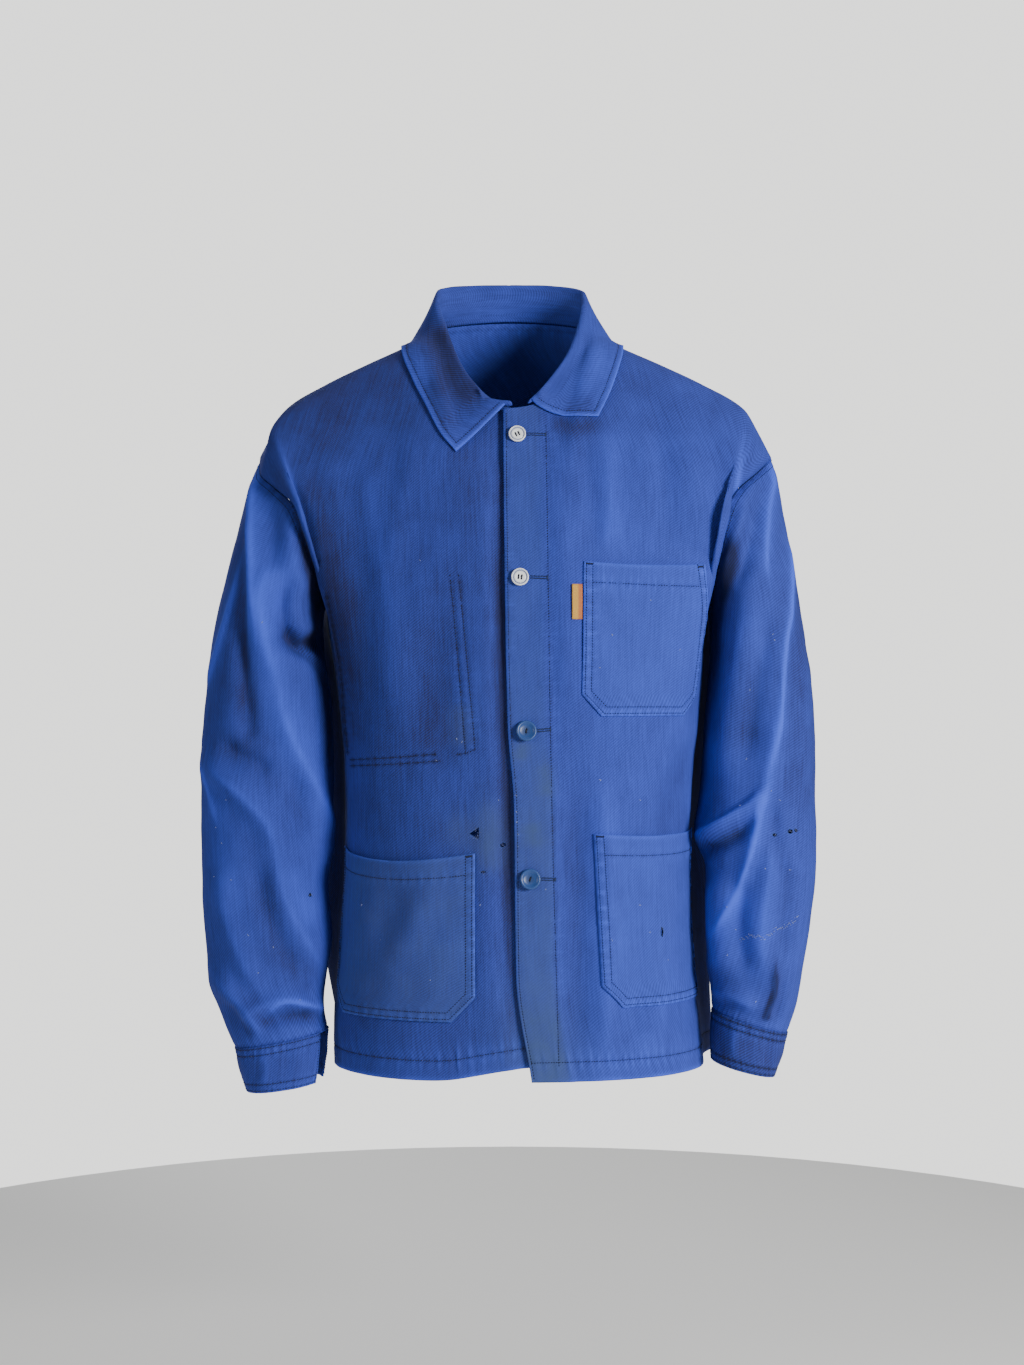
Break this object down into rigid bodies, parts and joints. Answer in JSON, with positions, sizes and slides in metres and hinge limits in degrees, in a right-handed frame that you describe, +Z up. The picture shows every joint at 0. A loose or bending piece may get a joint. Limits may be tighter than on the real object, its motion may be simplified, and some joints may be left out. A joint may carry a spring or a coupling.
{
  "type": "chore jacket",
  "caption": "Blue cotton twill work jacket, worn and buttoned, as a hollow form with turned-down collar, patch pockets and barrel cuffs.",
  "frame": {"origin": "middle of the neck at the height where the shoulder seams meet the collar, where the jacket hangs from what wears it", "axes": "+X to the wearer's left, which is the right side of the picture; +Y from the buttoned front to the back; +Z up, from the hem to the collar"},
  "size_m": [0.618, 0.2708, 0.8237],
  "materials": {
    "twill": "matte",
    "woven_tab": "matte",
    "white_button": "gloss",
    "blue_button": "satin"
  },
  "bodies": {
    "root": {"front_right": "twill", "front_left": "twill", "back": "twill", "sleeve_right": "twill", "sleeve_left": "twill", "cuff_right": "twill", "cuff_left": "twill", "collar": "twill", "chest_pocket": "twill", "lower_pocket_left": "twill", "lower_pocket_right": "twill", "inner_chest_pocket": "twill", "pocket_tab": "woven_tab", "button_1": "white_button", "button_2": "white_button", "button_3": "blue_button", "button_4": "blue_button"}
  },
  "joints": []
}
